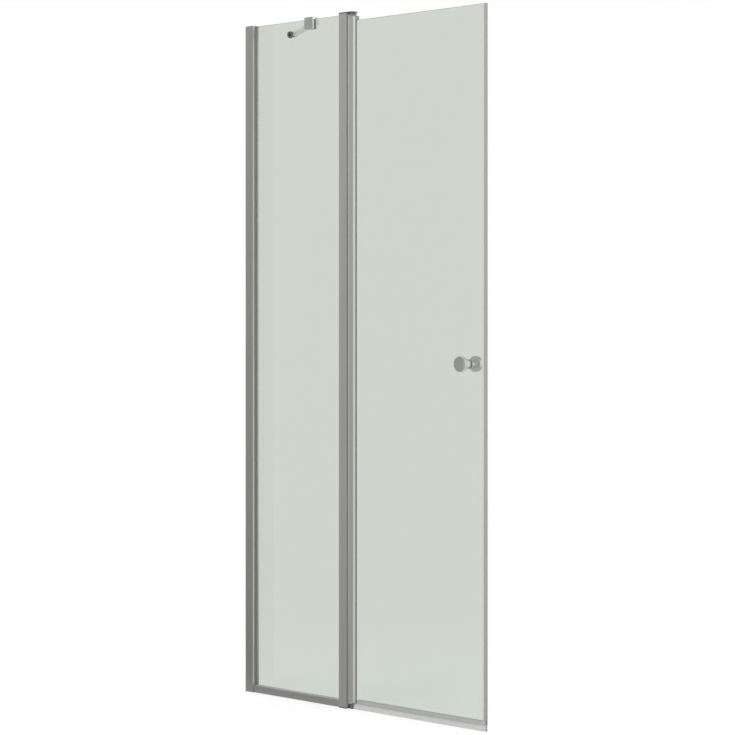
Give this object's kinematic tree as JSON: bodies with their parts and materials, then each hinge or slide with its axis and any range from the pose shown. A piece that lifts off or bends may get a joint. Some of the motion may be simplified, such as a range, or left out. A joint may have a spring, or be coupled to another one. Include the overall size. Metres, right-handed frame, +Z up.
{
  "type": "shower door",
  "caption": "Frameless-top glass shower swing door on a hinge post, with a narrow fixed pane, wall profile, bottom rail, round knobs, edge and bottom seals and a stabiliser bar.",
  "frame": {"origin": "on the wall, at tray level, in the middle of the glass: the wall channel's back face at its foot", "axes": "+X from the wall to the free edge of the closed door, +Y into the shower, +Z up"},
  "size_m": [0.889, 0.2035, 1.85],
  "materials": {
    "anodised_profile": "satin anodised aluminium",
    "grey_cap": "grey moulded plastic",
    "clear_glass": "polished toughened glass",
    "dark_gasket": "matt extruded rubber",
    "grey_gasket": "matt extruded rubber, mid grey",
    "light_gasket": "matt translucent rubber",
    "black_plastic": "black moulded plastic",
    "satin_chrome": "satin chrome plate",
    "pivot_plate_steel": "brushed stainless steel",
    "stainless_screw": "bright stainless steel",
    "clear_plastic": "clear plastic",
    "seal_profile": "translucent grey seal profile",
    "seal_lip": "soft translucent lip",
    "magnet_strip": "bonded magnet strip"
  },
  "bodies": {
    "fixed_panel": {"wall_channel": "anodised_profile", "glazing_profile": "anodised_profile", "profile_lock_screws": "stainless_screw", "profile_top_cap": "grey_cap", "fixed_glass": "clear_glass", "wall_gasket_outer": "dark_gasket", "wall_gasket_inner": "light_gasket", "bottom_rail": "anodised_profile", "rail_gasket_outer": "light_gasket", "rail_gasket_inner": "light_gasket", "setting_blocks": "black_plastic", "post_profile": "anodised_profile", "post_gasket_outer": "light_gasket", "post_gasket_inner": "light_gasket", "post_seal_outer": "grey_gasket", "post_seal_inner": "grey_gasket", "top_pivot_plate": "pivot_plate_steel", "foot_pivot_plate": "pivot_plate_steel", "top_plate_screws": "stainless_screw", "foot_plate_screws": "stainless_screw", "top_pivot_pin": "stainless_screw", "foot_pivot_pin": "stainless_screw", "top_pivot_bush": "black_plastic", "foot_pivot_bush": "black_plastic", "clamp_body": "satin_chrome", "clamp_pads": "black_plastic", "clamp_set_screws": "stainless_screw", "clamp_swivel_pin": "stainless_screw", "clamp_washers": "black_plastic"},
    "door": {"hinge_tube": "anodised_profile", "upper_tube_plug": "grey_cap", "lower_tube_plug": "grey_cap", "door_glass": "clear_glass", "hinge_gasket_outer": "grey_gasket", "hinge_gasket_inner": "light_gasket", "knob_outer": "satin_chrome", "knob_inner": "satin_chrome", "knob_stud": "stainless_screw", "knob_sleeve": "clear_plastic", "knob_washers": "clear_plastic", "edge_seal": "seal_profile", "edge_magnet": "magnet_strip", "bottom_seal": "seal_profile", "bottom_seal_lip": "seal_lip"},
    "stabiliser": {"stabiliser_bar": "satin_chrome", "bar_end_clamp": "satin_chrome", "bar_end_wall": "satin_chrome", "bar_grub_screws": "stainless_screw"},
    "flange": {"wall_flange": "satin_chrome", "flange_swivel_pin": "stainless_screw", "flange_washers": "black_plastic"}
  },
  "joints": [
    {"name": "door_swing", "type": "hinge", "parent": "fixed_panel", "child": "door", "pos_m": [0.4115, 0, 0.925], "axis": [0, 0, -1], "range_deg": [0, 110]},
    {"name": "stabiliser_swivel", "type": "hinge", "parent": "fixed_panel", "child": "stabiliser", "pos_m": [0.252, 0.0218, 1.839], "axis": [0, 0, -1], "range_deg": [0, 59.5]},
    {"name": "flange_swivel", "type": "hinge", "parent": "stabiliser", "child": "flange", "pos_m": [0.02, 0.15846, 1.839], "axis": [0, 0, 1], "range_deg": [-93, 32]}
  ]
}
